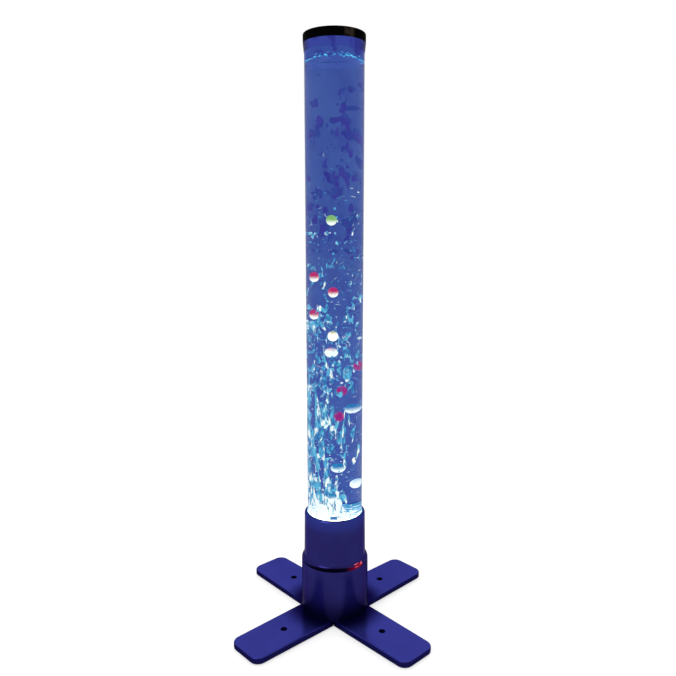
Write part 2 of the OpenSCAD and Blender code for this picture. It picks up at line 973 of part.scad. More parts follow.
// Rubber block that beds the motor on the base plate
module pump_cushion() {
    color("black")
        difference() {
            translate([strap_x, -motor_d / 2, plate_top])
                cube([strap_w, motor_d, pump_axis_z - plate_top]);
            translate([strap_x - 1, 0, pump_axis_z])
                rotate([0, 90, 0])
                    cylinder(d = motor_d, h = strap_w + 2);
        }
}

// Steel strap over the motor, with its ends pressed into slots of the base plate
module pump_strap() {
    strap_foot = plate_top - strap_grip;
    color("silver")
        difference() {
            union() {
                translate([strap_x, 0, pump_axis_z])
                    rotate([0, 90, 0])
                        cylinder(r = strap_r, h = strap_w);
                translate([strap_x, -strap_r, strap_foot])
                    cube([strap_w, 2 * strap_r, pump_axis_z - strap_foot]);
            }
            translate([strap_x - 1, 0, pump_axis_z])
                rotate([0, 90, 0])
                    cylinder(d = motor_d, h = strap_w + 2);
            translate([strap_x - 1, -motor_d / 2, strap_foot - 1])
                cube([strap_w + 2, motor_d, pump_axis_z - strap_foot + 1]);
        }
}

// Slots in the base plate for the strap's two ends
module strap_slots() {
    for (side = [-1, 1])
        translate([strap_x - 0.1, side * (strap_r - strap_t / 2) - strap_t / 2 - 0.1, plate_top - strap_grip])
            cube([strap_w + 0.2, strap_t + 0.2, strap_grip + 1]);
}

// ---------------------------------------------------------------- electrics

module control_board() {
    color("darkgreen")
        translate([-circuit_w / 2, circuit_at - circuit_t, circuit_foot])
            cube([circuit_w, circuit_t, circuit_h]);
}

// Two chips, a capacitor and the two lead sockets on the control board's inner face
module board_parts() {
    chip_depth = 2;
    can_r = 4;
    can_len = 12;
    color("black") {
        translate([-circuit_w / 4, circuit_face - chip_depth, circuit_foot + circuit_h / 2])
            cube([circuit_w / 5, chip_depth, circuit_h / 5]);
        translate([circuit_w / 20, circuit_face - chip_depth, circuit_foot + circuit_h / 2])
            cube([circuit_w / 8, chip_depth, circuit_h / 10]);
        for (place = [lamp_socket, pump_socket])
            translate([place[0] - socket_w / 2, place[1] - socket_d / 2, place[2]])
                cube([socket_w, socket_d, socket_h]);
        translate([circuit_w / 2 - 2 * can_r, circuit_face, circuit_foot + circuit_h / 3])
            rotate([90, 0, 0])
                cylinder(r = can_r, h = can_len);
    }
}

// Round threaded inlet with a flange outside the housing, a bore and a centre pin
module power_inlet() {
    pin_r = 1;
    color("black")
        difference() {
            union() {
                difference() {
                    facing_rear(inlet_z)
                        disc(inlet_flange_r, housing_top_r - 2, housing_foot_r + 1.5);
                    housing_form();
                }
                facing_rear(inlet_z)
                    disc(inlet_d / 2, housing_foot_r - inlet_body_len, housing_foot_r + 0.5);
            }
            facing_rear(inlet_z)
                ring(inlet_bore / 2, pin_r, housing_foot_r - 8, housing_foot_r + 2);
        }
}

module inlet_nut() {
    color("silver")
        facing_rear(inlet_z)
            difference() {
                translate([0, 0, inlet_seat - 3])
                    cylinder(r = inlet_d / 2 + 3, h = 3, $fn = 6);
                disc(inlet_d / 2, inlet_seat - 4, inlet_seat + 1);
            }
}

// Button cap with the flange that keeps it in the housing, and the plunger into the switch
module push_button() {
    face = housing_top_r + button_proud;
    color("gainsboro")
        facing_rear(button_z) {
            disc(button_d / 2, button_seat - slide_gap, face);
            disc(button_flange_r, button_seat - slide_gap - button_flange_t, button_seat - slide_gap);
            disc(plunger_r, circuit_at + switch_depth - 2, button_seat - slide_gap);
        }
}

module button_switch() {
    color("black")
        facing_rear(button_z)
            difference() {
                translate([-switch_side / 2, -switch_side / 2, circuit_at])
                    cube([switch_side, switch_side, switch_depth]);
                disc(plunger_r + slide_gap, circuit_at + switch_depth - 4.5, circuit_at + switch_depth + 1);
            }
}

// Lead from the control board up through the collar's ledge to the lamp board
module led_lead() {
    shift = lead_out_r - lead_in_r;
    turn = tube_foot - ledge_t - bend_rise(shift) - 1;
    color("red")
        rotate([0, 0, lead_azimuth])
            translate([lead_out_r, 0, 0])
                mirror([1, 0, 0])
                    shifted_run(shift, lamp_socket[2] + socket_h, turn, spreader_top, lead_r);
}

// Lead from its socket on the control board round to the end of the pump's motor
module pump_lead() {
    r = 1.2;
    motor_end = head_face - motor_len;
    motor_y = motor_d / 3;
    turn_x = motor_end - 4;
    turn_r = (pump_socket[1] - motor_y) / 2;
    color("red")
        translate([0, 0, pump_axis_z]) {
            translate([turn_x, motor_y + turn_r, 0])
                rotate([0, 0, 90])
                    rotate_extrude(angle = 180)
                        translate([turn_r, 0])
                            circle(r = r + bend_step);
            translate([turn_x - bend_lap, pump_socket[1], 0])
                rotate([0, 90, 0])
                    cylinder(r = r, h = pump_socket[0] - socket_w / 2 - turn_x + bend_lap);
            translate([turn_x - bend_lap, motor_y, 0])
                rotate([0, 90, 0])
                    cylinder(r = r, h = motor_end - turn_x + bend_lap);
        }
}

// Two bare leads from the power inlet to the control board
module inlet_lead() {
    color("red")
        for (x = [-2.5, 2.5])
            translate([x, 0, 0])
                facing_rear(inlet_z)
                    disc(0.8, circuit_at, housing_foot_r - inlet_body_len);
}

acrylic_tube();
tube_floor();
tube_seals();
rim_gasket();
top_cap();
cap_seal();
water_column();
air_bubbles();
ball(0);  // ball_01
ball(1);  // ball_02
ball(2);  // ball_03
ball(3);  // ball_04
ball(4);  // ball_05
ball(5);  // ball_06
ball(6);  // ball_07
ball(7);  // ball_08
ball(8);  // ball_09
ball(9);  // ball_10
ball(10);  // ball_11
ball(11);  // ball_12
ball(12);  // ball_13
ball(13);  // ball_14
collar();
collar_nut();
shoulder_band();
receiver_window();
receiver();
base_housing();
base_plate();
plate_screws();
leg(leg_azimuths[0]);  // leg_front_left
leg(leg_azimuths[1]);  // leg_front_right
leg(leg_azimuths[2]);  // leg_rear_left
leg(leg_azimuths[3]);  // leg_rear_right
leg_screws();
foot_pads();
light_carrier();
heat_spreader();
led_board();
led_chips();
air_nozzle();
nozzle_washer();
nozzle_nut();
bubble_diffuser();
hose_upper();
check_valve();
hose_lower();
pump_head();
pump_motor();
pump_cushion();
pump_strap();
control_board();
board_parts();
power_inlet();
inlet_nut();
push_button();
button_switch();
led_lead();
pump_lead();
inlet_lead();
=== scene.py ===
"""Looks of the bubble tube floor lamp: finishes for every part, the water with its currents, bubbles
and broken surface, a pale studio and the photograph's view. Lengths are metres, in the part's frame."""
import json
import math

import bmesh
import bpy
import numpy as np
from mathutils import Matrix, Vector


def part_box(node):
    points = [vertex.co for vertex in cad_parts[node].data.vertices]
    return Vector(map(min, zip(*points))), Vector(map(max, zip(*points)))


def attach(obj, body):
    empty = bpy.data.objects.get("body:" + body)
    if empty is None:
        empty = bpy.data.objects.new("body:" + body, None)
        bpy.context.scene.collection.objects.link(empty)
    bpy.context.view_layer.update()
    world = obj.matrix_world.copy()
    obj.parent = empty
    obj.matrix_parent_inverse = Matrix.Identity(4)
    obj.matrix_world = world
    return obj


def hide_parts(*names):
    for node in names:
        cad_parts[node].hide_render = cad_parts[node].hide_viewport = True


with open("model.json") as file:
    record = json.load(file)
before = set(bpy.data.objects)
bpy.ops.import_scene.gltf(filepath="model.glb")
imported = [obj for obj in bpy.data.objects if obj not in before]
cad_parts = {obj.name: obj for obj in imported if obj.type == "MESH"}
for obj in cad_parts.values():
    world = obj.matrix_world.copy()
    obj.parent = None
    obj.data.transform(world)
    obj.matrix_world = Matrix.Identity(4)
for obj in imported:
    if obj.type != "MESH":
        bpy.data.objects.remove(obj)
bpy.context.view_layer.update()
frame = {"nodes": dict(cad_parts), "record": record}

# ---------------------------------------------------------------- sizes read from the frame

MM = 0.001
TUBE_LOW, TUBE_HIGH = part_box("acrylic_tube")
TUBE_R = (TUBE_HIGH[0] - TUBE_LOW[0]) / 2
# The cap's seal sits in the tube's bore with a little play
SEAL_PLAY = 0.1 * MM
BORE_R = (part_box("cap_seal")[1][0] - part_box("cap_seal")[0][0]) / 2 + SEAL_PLAY
FLOOR_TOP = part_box("water_column")[0][2]
WATER_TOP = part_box("water_column")[1][2]
CAP_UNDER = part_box("rim_gasket")[1][2]
WATER_H = WATER_TOP - FLOOR_TOP
BAND_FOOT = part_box("shoulder_band")[0][2]
STAND = "stand"

# ---------------------------------------------------------------- the photograph's view

# The camera's distance from the lamp's axis and its height; its angles in degrees; its lens in mm
CAMERA_DISTANCE = 1.1458
CAMERA_HEIGHT = 0.7195
CAMERA_AZIMUTH = 2.43
CAMERA_YAW = 0.3
CAMERA_PITCH = 9.76
CAMERA_LENS = 35.01


def add_camera():
    data = bpy.data.cameras.new("camera")
    data.lens = CAMERA_LENS
    data.sensor_width = 36.0
    data.clip_start = 0.05
    camera = bpy.data.objects.new("camera", data)
    bpy.context.scene.collection.objects.link(camera)
    turn = math.radians(CAMERA_AZIMUTH)
    camera.location = (
        CAMERA_DISTANCE * math.sin(turn),
        -CAMERA_DISTANCE * math.cos(turn),
        CAMERA_HEIGHT,
    )
    camera.rotation_euler = (
        math.radians(90 - CAMERA_PITCH),
        0,
        math.radians(CAMERA_AZIMUTH - CAMERA_YAW),
    )
    bpy.context.scene.camera = camera


# ---------------------------------------------------------------- node helpers

BLACK = (0.0, 0.0, 0.0)

# Numbers of a Mix node's colour sockets: the two it mixes, and the one it gives
MIX_FIRST, MIX_SECOND, MIX_RESULT = 6, 7, 2


class Shader:
    """A new material with one Principled shader, and short ways to feed its sockets."""

    def __init__(self, name):
        self.material = bpy.data.materials.new(name)
        self.material.use_nodes = True
        self.tree = self.material.node_tree
        self.tree.nodes.clear()
        self.output = self.add("ShaderNodeOutputMaterial")
        self.bsdf = self.add("ShaderNodeBsdfPrincipled")
        self.link(self.bsdf.outputs[0], self.output.inputs["Surface"])
        self.place = self.add("ShaderNodeTexCoord").outputs["Object"]

    def add(self, kind, **settings):
        node = self.tree.nodes.new(kind)
        for key, value in settings.items():
            setattr(node, key, value)
        return node

    def link(self, source, target):
        self.tree.links.new(source, target)

    def fix(self, **values):
        """Constant values on the Principled shader's own sockets."""
        for key, value in values.items():
            self.bsdf.inputs[key.replace("_", " ")].default_value = value

    def noise(self, scale, detail=3.0, stretch=(1, 1, 1), distortion=0.0):
        """Noise at a scale given in features per metre, stretched along the object's axes."""
        mapping = self.add("ShaderNodeMapping")
        mapping.inputs["Scale"].default_value = stretch
        self.link(self.place, mapping.inputs["Vector"])
        node = self.add("ShaderNodeTexNoise")
        node.inputs["Scale"].default_value = scale
        node.inputs["Detail"].default_value = detail
        node.inputs["Distortion"].default_value = distortion
        self.link(mapping.outputs[0], node.inputs["Vector"])
        return node.outputs["Fac"]

    def remap(self, value, low, high, out_low=0.0, out_high=1.0):
        """A smooth step from out_low to out_high while the value goes from low to high."""
        node = self.add("ShaderNodeMapRange", interpolation_type="SMOOTHSTEP")
        self.link(value, node.inputs["Value"])
        node.inputs["From Min"].default_value = low
        node.inputs["From Max"].default_value = high
        node.inputs["To Min"].default_value = out_low
        node.inputs["To Max"].default_value = out_high
        return node.outputs["Result"]

    def along(self, axis):
        """The object's own coordinate along X, Y or Z."""
        node = self.add("ShaderNodeSeparateXYZ")
        self.link(self.place, node.inputs[0])
        return node.outputs[axis]

    def from_axis(self):
        """How far a point lies from the lamp's upright axis."""
        flat = self.add("ShaderNodeMapping")
        flat.inputs["Scale"].default_value = (1, 1, 0)
        self.link(self.place, flat.inputs["Vector"])
        node = self.add("ShaderNodeVectorMath", operation="LENGTH")
        self.link(flat.outputs[0], node.inputs[0])
        return node.outputs["Value"]

    def upward(self):
        """1 where the surface faces up, 0 on its sides, -1 below."""
        node = self.add("ShaderNodeSeparateXYZ")
        self.link(self.add("ShaderNodeTexCoord").outputs["Normal"], node.inputs[0])
        return node.outputs["Z"]

    def edge_on(self):
        """0 where the surface is seen straight on, 1 where it is seen on edge."""
        node = self.add("ShaderNodeLayerWeight")
        node.inputs["Blend"].default_value = 0.5
        return node.outputs["Facing"]

    def calculate(self, operation, first, second):
        node = self.add("ShaderNodeMath", operation=operation)
        for socket, value in zip(node.inputs, (first, second)):
            if isinstance(value, (int, float)):
                socket.default_value = value
            else:
                self.link(value, socket)
        return node.outputs[0]

    def product(self, first, *others):
        for other in others:
            first = self.calculate("MULTIPLY", first, other)
        return first

    def total(self, first, *others):
        for other in others:
            first = self.calculate("ADD", first, other)
        return first

    def blend(self, factor, first, second):
        """A colour between two, each an RGB triple or a socket."""
        node = self.add("ShaderNodeMix", data_type="RGBA")
        self.link(factor, node.inputs["Factor"])
        for number, value in ((MIX_FIRST, first), (MIX_SECOND, second)):
            if isinstance(value, tuple):
                node.inputs[number].default_value = (*value, 1)
            else:
                self.link(value, node.inputs[number])
        return node.outputs[MIX_RESULT]

    def colour(self, socket):
        self.link(socket, self.bsdf.inputs["Base Color"])

    def glow(self, socket, strength=1.0):
        self.link(socket, self.bsdf.inputs["Emission Color"])
        self.fix(Emission_Strength=strength)

    def roughness(self, scale, low, high):
        self.link(self.remap(self.noise(scale), 0.35, 0.65, low, high), self.bsdf.inputs["Roughness"])

    def bump(self, height, distance):
        node = self.add("ShaderNodeBump")
        node.inputs["Strength"].default_value = 1.0
        node.inputs["Distance"].default_value = distance
        self.link(height, node.inputs["Height"])
        self.link(node.outputs[0], self.bsdf.inputs["Normal"])

    def absorb(self, colour, density):
        node = self.add("ShaderNodeVolumeAbsorption")
        node.inputs["Color"].default_value = (*colour, 1)
        node.inputs["Density"].default_value = density
        self.link(node.outputs[0], self.output.inputs["Volume"])


# ---------------------------------------------------------------- finishes of the shell


def enamel(shader, plain, dark, shade_share):
    """Deep blue gloss whose reflections keep its own colour, darkened by painted shade where shade_share is
    1.
    """
    shader.colour(shader.blend(shade_share, plain, dark))
    shader.fix(Metallic=0.75, Specular_IOR_Level=0.05, Specular_Tint=(0.45, 0.40, 0.60, 1))


def navy_plastic():
    """Moulded navy of collar and housing: bluer at the lip as painted light, with a painted teal glow in the
    bore by the lip, and darker towards the foot as painted shade.
    """
    shader = Shader("navy_plastic")
    patches = shader.remap(shader.noise(18), 0.35, 0.65)
    plain = shader.blend(patches, (0.028, 0.024, 0.170), (0.032, 0.030, 0.192))
    # Painted light: the lip is bluer, as if lit
    lip = shader.remap(shader.along("Z"), FLOOR_TOP - 30 * MM, FLOOR_TOP - 4 * MM)
    plain = shader.blend(lip, plain, (0.036, 0.048, 0.308))
    # Painted shade: darker towards the foot
    foot = shader.remap(shader.along("Z"), 14 * MM, 74 * MM, 1.0, 0.0)
    enamel(shader, plain, (0.0056, 0.0042, 0.042), foot)
    # Painted light: the bore by the lip glows teal
    bore = shader.remap(shader.from_axis(), TUBE_R + 0.4 * MM, TUBE_R + 0.7 * MM, 1.0, 0.0)
    shader.glow(shader.blend(shader.product(bore, lip), BLACK, (0.10, 0.55, 0.60)), 1.5)
    shader.roughness(40, 0.20, 0.26)
    shader.bump(shader.noise(2600, detail=2.0), 0.01 * MM)
    return shader.material


def leg_paint():
    """Smooth blue enamel with a faint orange-peel, with painted shade by the housing and on its side faces
    and edges.
    """
    shader = Shader("leg_paint")
    patches = shader.remap(shader.noise(14), 0.35, 0.65)
    plain = shader.blend(patches, (0.054, 0.061, 0.400), (0.060, 0.068, 0.440))
    # Painted shade by the housing, and on side faces and rounded edges
    housing_shade = shader.remap(shader.from_axis(), 68 * MM, 110 * MM, 1.0, 0.0)
    side = shader.remap(shader.upward(), 0.30, 0.96, 0.9, 0.0)
    enamel(shader, plain, (0.006, 0.005, 0.070), shader.calculate("MAXIMUM", housing_shade, side))
    shader.roughness(30, 0.16, 0.22)
    shader.bump(shader.noise(420, detail=1.0), 0.02 * MM)
    return shader.material


def band_gloss():
    """Shoulder band: navy on its rounded top, almost black in the groove below by painted dark reflection,
    with a painted red glow beside the window.
    """
    shader = Shader("band_gloss")
    patches = shader.remap(shader.noise(22), 0.35, 0.65)
    plain = shader.blend(patches, (0.024, 0.020, 0.147), (0.028, 0.025, 0.165))
    place = shader.along("X")
    # Painted dark reflection in the groove, reaching higher at the sides
    aside = shader.product(shader.calculate("POWER", place, 2.0), 1.6)
    height = shader.total(shader.along("Z"), aside)
    groove = shader.remap(height, BAND_FOOT + 5.5 * MM, BAND_FOOT + 8.5 * MM, 1.0, 0.0)
    enamel(shader, plain, (0.0012, 0.001, 0.010), groove)
    # Painted red glow on the band beside the window
    red_glow_span = shader.remap(place, 20 * MM, 44 * MM)
    front = shader.remap(shader.along("Y"), -45 * MM, -30 * MM, 1.0, 0.0)
    shader.glow(shader.blend(shader.product(red_glow_span, groove, front), BLACK, (0.16, 0.0, 0.018)))
    shader.roughness(40, 0.16, 0.22)
    shader.bump(shader.noise(900), 0.01 * MM)
    return shader.material


def cap_black():
    """Black cap with a faint warm sheen on its rim, at the front right: a painted reflection."""
    shader = Shader("cap_black")
    place = shader.along("X")
    # Painted reflection: the warm sheen at the front right of the rim
    left = shader.remap(place, 16 * MM, 22 * MM)
    right = shader.remap(place, 30 * MM, 36 * MM, 1.0, 0.0)
    front = shader.remap(shader.along("Y"), -42 * MM, -36 * MM, 1.0, 0.0)
    rim = shader.remap(shader.upward(), 0.3, 0.7, 1.0, 0.0)
    sheen = shader.product(left, right, front, rim, shader.remap(shader.noise(90), 0.35, 0.60))
    plain = shader.blend(shader.noise(14), (0.0004, 0.0003, 0.0010), (0.0014, 0.0012, 0.0014))
    shader.colour(shader.blend(sheen, plain, (0.030, 0.022, 0.016)))
    shader.roughness(28, 0.5, 0.6)
    shader.bump(shader.noise(1600, detail=2.0), 0.01 * MM)
    shader.fix(Specular_IOR_Level=0.008)
    return shader.material


def window_red():
    """Dark red window with a painted red glow and a few painted pale glints."""
    shader = Shader("window_red")
    painted_glint = shader.remap(shader.noise(150, detail=2.0, stretch=(0.35, 0.35, 2.4)), 0.50, 0.60)
    shader.colour(shader.blend(painted_glint, (0.06, 0.0, 0.006), (0.40, 0.01, 0.04)))
    shader.glow(shader.blend(painted_glint, (0.13, 0.0, 0.014), (0.90, 0.17, 0.24)), 0.9)
    shader.roughness(60, 0.2, 0.3)
    shader.fix(Specular_IOR_Level=0.05)
    return shader.material


# ---------------------------------------------------------------- finishes of tube, ring and water


def tube_clear():
    """Clear acrylic with faint long ripples from its casting, deeper blue where it is seen on edge."""
    shader = Shader("tube_clear")
    patches = shader.remap(shader.noise(9), 0.3, 0.7)
    clear = shader.blend(patches, (0.90, 0.93, 1.0), (0.94, 0.96, 1.0))
    shader.colour(shader.blend(shader.remap(shader.edge_on(), 0.4, 0.9), clear, (0.50, 0.66, 0.88)))
    shader.bump(shader.noise(30, detail=2.0, stretch=(1, 1, 0.15)), 0.04 * MM)
    shader.fix(Roughness=0.02, IOR=1.15, Transmission_Weight=1.0, Specular_Tint=(0.04, 0.12, 0.5, 1))
    return shader.material


def water_blue():
    """Water lit blue from below: clear, tinted where light enters it and a little on its way, with a faint
    painted glow.
    """
    shader = Shader("water_blue")
    patches = shader.noise(22, detail=4.0, stretch=(1, 1, 0.6), distortion=0.8)
    patches = shader.remap(patches, 0.45, 0.62)
    shader.colour(shader.blend(patches, (0.080, 0.130, 0.350), (0.062, 0.098, 0.320)))
    shader.glow(shader.blend(patches, (0.001, 0.004, 0.020), (0.001, 0.002, 0.016)))
    shader.bump(shader.noise(45, detail=2.0, stretch=(1, 1, 0.5)), 0.3 * MM)
    shader.fix(Roughness=0.0, IOR=1.33, Transmission_Weight=1.0, Specular_Tint=(0.1, 0.2, 0.6, 1))
    shader.absorb((0.10, 0.30, 0.68), 4.0)
    return shader.material


def broad_patches(shader):
    """Broad soft patches that film and ring share."""
    return shader.remap(shader.noise(24, detail=1.0, distortion=1.2), 0.50, 0.62)


def lit_film():
    """Wet inside of the tube above the water, evenly lit by a painted glow."""
    shader = Shader("lit_film")
    shader.glow(shader.blend(broad_patches(shader), (0.036, 0.072, 0.310), (0.024, 0.032, 0.240)))
    shader.bump(shader.noise(90), 0.2 * MM)
    shader.roughness(60, 0.4, 0.5)
    shader.fix(Base_Color=(0.01, 0.01, 0.03, 1), Specular_IOR_Level=0.0)
    return shader.material


def gasket_clear():
    """Thick clear ring: it glows with painted light as the tube does and darkens where it is seen on edge.
    """
    shader = Shader("gasket_clear")
    patches = broad_patches(shader)
    body = shader.blend(patches, (0.029, 0.048, 0.285), (0.022, 0.028, 0.230))
    shader.glow(shader.blend(shader.remap(shader.edge_on(), 0.35, 0.70), body, (0.008, 0.006, 0.06)))
    shader.colour(shader.blend(patches, (0.01, 0.01, 0.04), (0.005, 0.005, 0.03)))
    shader.bump(shader.noise(300), 0.02 * MM)
    shader.fix(Roughness=0.25, Specular_IOR_Level=0.05)
    return shader.material


# ---------------------------------------------------------------- finishes of lit things in the water

# Colours of painted light seen through the tinted water: it takes most of the red and half of the green
TEAL_DEEP = (0.040, 0.140, 0.180)
TEAL = (0.115, 0.390, 0.310)
PAINTED_LIGHT = (1.0, 0.84, 0.43)

# Strength of the painted glow of the balls
BALL_GLOW = 4.0

# The balls' own colours by slot, and between which slopes of the surface the painted white light from below
# turns into them
BALL_TOPS = {
    "ball_green": ((0.21, 0.34, 0.045), (-0.9, 0.3)),
    "ball_red": ((0.45, 0.008, 0.040), (-0.75, 0.35)),
    "ball_gold": ((0.45, 0.30, 0.070), (0.35, 1.0)),
    "ball_magenta": ((0.30, 0.010, 0.070), (-1.6, -0.8)),
    "ball_teal": ((0.015, 0.15, 0.18), (-0.5, 0.6)),
    "ball_white": ((0.50, 0.60, 0.38), (0.4, 1.0)),
}


def floor_lit():
    """Clear disc at the tube's foot with painted light from below: a glow of white dappled with teal, and a
    darker tab.
    """
    shader = Shader("floor_lit")
    rightward = shader.product(shader.along("X"), 0.35)
    backward = shader.product(shader.along("Y"), 0.75)
    uneven = shader.product(shader.noise(75, detail=3.0, distortion=1.5), 0.16)
    teal = shader.remap(shader.total(rightward, backward, uneven), 0.088, 0.100)
    dapple = shader.remap(shader.noise(130, detail=2.0, distortion=1.2), 0.52, 0.60)
    tab = shader.remap(shader.along("Z"), FLOOR_TOP + 0.2 * MM, FLOOR_TOP + 0.6 * MM)
    lit = shader.blend(dapple, PAINTED_LIGHT, (0.22, 0.48, 0.36))
    lit = shader.blend(teal, lit, (0.035, 0.19, 0.135))
    shader.glow(shader.blend(tab, lit, (0.008, 0.060, 0.070)), 4.5)
    shader.colour(shader.blend(teal, (0.8, 0.9, 1.0), (0.2, 0.5, 0.8)))
    shader.roughness(80, 0.1, 0.2)
    return shader.material


def ball_finish(name, top, slopes):
    """A ball with painted light from below: its under side glows white, its own colour shows on top."""
    shader = Shader(name)
    uneven = shader.product(shader.calculate("SUBTRACT", shader.noise(260), 0.5), 0.7)
    colour_and_painted_light = shader.blend(shader.remap(shader.total(shader.upward(), uneven), *slopes), PAINTED_LIGHT, top)
    shader.colour(colour_and_painted_light)
    shader.glow(colour_and_painted_light, BALL_GLOW)
    shader.roughness(300, 0.2, 0.35)
    shader.bump(shader.noise(900), 0.03 * MM)
    return shader.material


def current_finish(name, strength=4.0, share=0.0, glare=0.0):
    """Painted light of bubbles and bent light: teal with white cores, which share widens everywhere and
    glare at the foot.
    """
    shader = Shader(name)
    veil = shader.remap(shader.noise(170, detail=2.0, stretch=(1, 1, 0.5)), 0.42, 0.58)
    veil = shader.blend(veil, TEAL_DEEP, TEAL)
    bright = shader.noise(125, detail=2.0, stretch=(1, 1, 0.4), distortion=0.6)
    height = shader.along("Z")
    low = shader.remap(height, FLOOR_TOP + 10 * MM, FLOOR_TOP + 220 * MM, 0.06, 0.0)
    foot = shader.remap(height, FLOOR_TOP, FLOOR_TOP + 45 * MM, glare, 0.0)
    white = shader.remap(shader.total(bright, share, low, foot), 0.54, 0.66)
    shader.glow(shader.blend(white, veil, PAINTED_LIGHT), strength)
    shader.fix(Base_Color=(0.01, 0.02, 0.03, 1), Roughness=0.5, Specular_IOR_Level=0.0)
    return shader.material


def waterline_lit():
    """Painted light: glowing blue of the broken line round the water's top, brighter at the back."""
    shader = Shader("waterline_lit")
    patches = shader.remap(shader.noise(160, detail=2.0), 0.45, 0.60)
    front = shader.blend(patches, (0.02, 0.24, 0.60), (0.14, 0.62, 0.92))
    back = shader.blend(patches, (0.10, 0.50, 0.75), (0.80, 1.60, 1.30))
    shader.glow(shader.blend(shader.remap(shader.along("Y"), -5 * MM, 5 * MM), front, back), 1.1)
    shader.fix(Base_Color=(0.01, 0.02, 0.03, 1), Roughness=0.5, Specular_IOR_Level=0.0)
    return shader.material


def shade_finish():
    """Shaded folds of water in the upper tube, as painted shade."""
    shader = Shader("water_shade")
    patches = shader.remap(shader.noise(40), 0.45, 0.55)
    shader.glow(shader.blend(patches, (0.130, 0.180, 0.470), (0.170, 0.125, 0.470)))
    shader.fix(Base_Color=(0.0, 0.0, 0.01, 1), Roughness=0.6, Specular_IOR_Level=0.0)
    return shader.material


def chip_lit():
    shader = Shader("chip_lit")
    patches = shader.remap(shader.noise(900), 0.4, 0.6)
    shader.glow(shader.blend(patches, (0.55, 0.75, 1.0), (0.8, 0.9, 1.0)), 3.0)
    shader.colour(shader.blend(patches, (0.8, 0.8, 0.7), (0.9, 0.9, 0.8)))
    return shader.material


# ---------------------------------------------------------------- finishes of the small parts


def finish(name, first, second, patch, rough, grain, depth, stretch=(1, 1, 1), **constants):
    """A solid finish: two close colours in patches, uneven roughness and a fine grained surface."""
    shader = Shader(name)
    patches = shader.remap(shader.noise(patch, stretch=stretch), 0.35, 0.65)
    shader.colour(shader.blend(patches, first, second))
    shader.roughness(patch * 2, *rough)
    shader.bump(shader.noise(grain, detail=2.0, stretch=stretch), depth)
    shader.fix(**constants)
    return shader.material


def solid_finishes():
    """The small parts' finishes, by the record's material slot."""
    return {
        "rubber_black": finish(
            "rubber_black", (0.010, 0.010, 0.011), (0.018, 0.018, 0.019),
            patch=60, rough=(0.7, 0.85), grain=3000, depth=0.04 * MM, Specular_IOR_Level=0.2),
        "plastic_dark": finish(
            "plastic_dark", (0.016, 0.016, 0.024), (0.024, 0.023, 0.034),
            patch=50, rough=(0.4, 0.55), grain=2400, depth=0.03 * MM),
        "plastic_white": finish(
            "plastic_white", (0.70, 0.71, 0.72), (0.78, 0.78, 0.77),
            patch=50, rough=(0.35, 0.5), grain=2400, depth=0.02 * MM),
        "steel": finish(
            "steel", (0.42, 0.42, 0.44), (0.56, 0.56, 0.57),
            patch=200, rough=(0.25, 0.4), grain=1200, depth=0.02 * MM, stretch=(1, 1, 0.2), Metallic=1.0),
        "aluminium": finish(
            "aluminium", (0.66, 0.67, 0.69), (0.74, 0.75, 0.76),
            patch=120, rough=(0.3, 0.45), grain=1500, depth=0.02 * MM, stretch=(1, 0.2, 1), Metallic=1.0),
        "brass": finish(
            "brass", (0.60, 0.40, 0.14), (0.72, 0.50, 0.20),
            patch=160, rough=(0.2, 0.35), grain=1500, depth=0.02 * MM, Metallic=1.0),
        "hose_clear": finish(
            "hose_clear", (0.60, 0.64, 0.67), (0.70, 0.73, 0.75),
            patch=90, rough=(0.3, 0.4), grain=1800, depth=0.03 * MM, Transmission_Weight=0.3, IOR=1.41),
        "board_green": finish(
            "board_green", (0.008, 0.12, 0.035), (0.012, 0.17, 0.05),
            patch=260, rough=(0.25, 0.4), grain=900, depth=0.03 * MM),
        "board_white": finish(
            "board_white", (0.80, 0.80, 0.78), (0.86, 0.86, 0.85),
            patch=200, rough=(0.4, 0.5), grain=900, depth=0.02 * MM),
        "lead_red": finish(
            "lead_red", (0.42, 0.012, 0.012), (0.52, 0.02, 0.018),
            patch=90, rough=(0.35, 0.5), grain=1800, depth=0.03 * MM),
        "button_grey": finish(
            "button_grey", (0.10, 0.10, 0.13), (0.13, 0.13, 0.16),
            patch=80, rough=(0.35, 0.45), grain=2400, depth=0.03 * MM),
    }


def slot_finishes():
    """Every finish, by the record's material slot."""
    looks = solid_finishes()
    looks.update(
        tube_clear=tube_clear(),
        floor_clear=floor_lit(),
        gasket_clear=gasket_clear(),
        water_blue=water_blue(),
        cap_black=cap_black(),
        base_navy=navy_plastic(),
        band_black=band_gloss(),
        window_red=window_red(),
        leg_blue=leg_paint(),
        led_chip=chip_lit(),
        # The bubbles glow with painted light
        air_white=current_finish("air", glare=0.2),
    )
    for slot, (top, slopes) in BALL_TOPS.items():
        looks[slot] = ball_finish(slot, top, slopes)
    return looks


def node_finishes(looks):
    """Finishes of the nodes that look different from the rest of their slot; the diffuser, nozzle and washer
    glow with painted light.
    """
    diffuser = current_finish("diffuser_lit", share=-0.02, glare=0.08)
    return {
        # Ball_06 is red on top, with painted white light from below over most of it
        "ball_06": ball_finish("ball_red_painted_light", (0.55, 0.020, 0.050), (0.2, 1.3)),
        "ball_07": looks["ball_magenta"],
        "bubble_diffuser": diffuser,
        "air_nozzle": diffuser,
        "nozzle_washer": diffuser,
    }


def dress_nodes(looks):
    """Gives every carried-over node its own finish, or that of its material slot."""
    own = node_finishes(looks)
    slots = {part["node"]: part["material_slot"] for part in frame["record"]["subparts"]}
    for node, obj in frame["nodes"].items():
        obj.data.materials.clear()
        obj.data.materials.append(own.get(node, looks[slots[node]]))


# ---------------------------------------------------------------- the water and its surface

